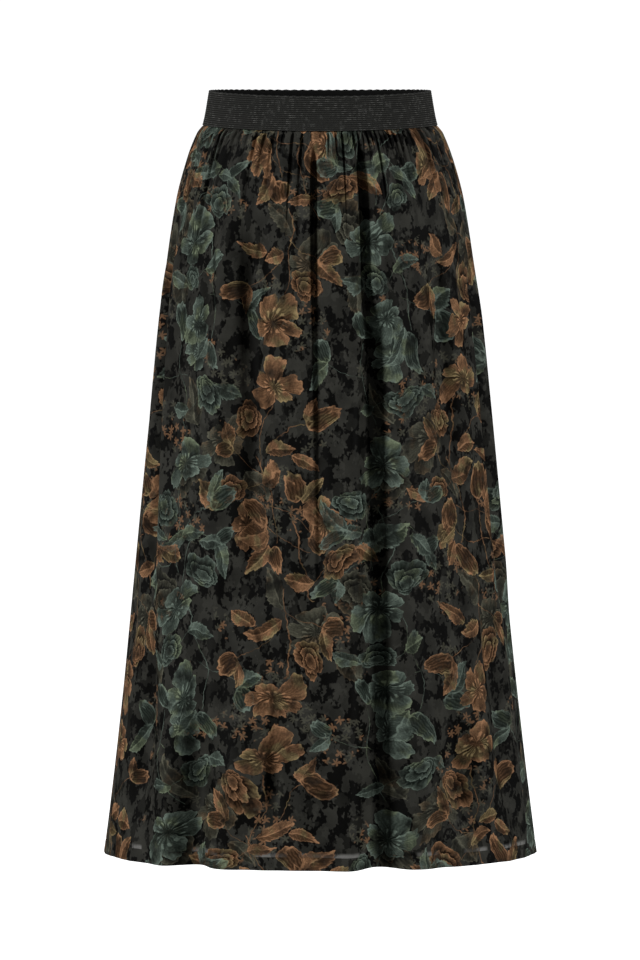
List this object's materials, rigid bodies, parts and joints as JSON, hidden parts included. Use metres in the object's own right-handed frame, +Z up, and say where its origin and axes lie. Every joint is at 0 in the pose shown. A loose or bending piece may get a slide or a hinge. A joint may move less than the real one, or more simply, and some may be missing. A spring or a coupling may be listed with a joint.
{
  "type": "midi skirt",
  "caption": "Pull-on A-line midi skirt in its worn, hollow form: a wide ribbed elastic waistband, cloth gathered below it that falls in soft folds to a turned-up hem, and a plain lining.",
  "frame": {"origin": "middle of the waistband at half its height, where the wearer's waist holds the skirt up", "axes": "+Z up towards the wearer's head, -Y is the front, +X is the wearer's left side"},
  "size_m": [0.498, 0.3214, 0.878],
  "materials": {
    "ribbed_elastic": "matt black ribbed elastic with sparse pale metallic flecks",
    "printed_cloth": "semi-sheer burn-out cloth with a soft sheen, charcoal and black patches under copper and teal flowers",
    "lining_satin": "plain black lining with a slight sheen"
  },
  "bodies": {
    "root": {"waistband": "ribbed_elastic", "skirt_front": "printed_cloth", "skirt_back": "printed_cloth", "lining_front": "lining_satin", "lining_back": "lining_satin"}
  },
  "joints": []
}
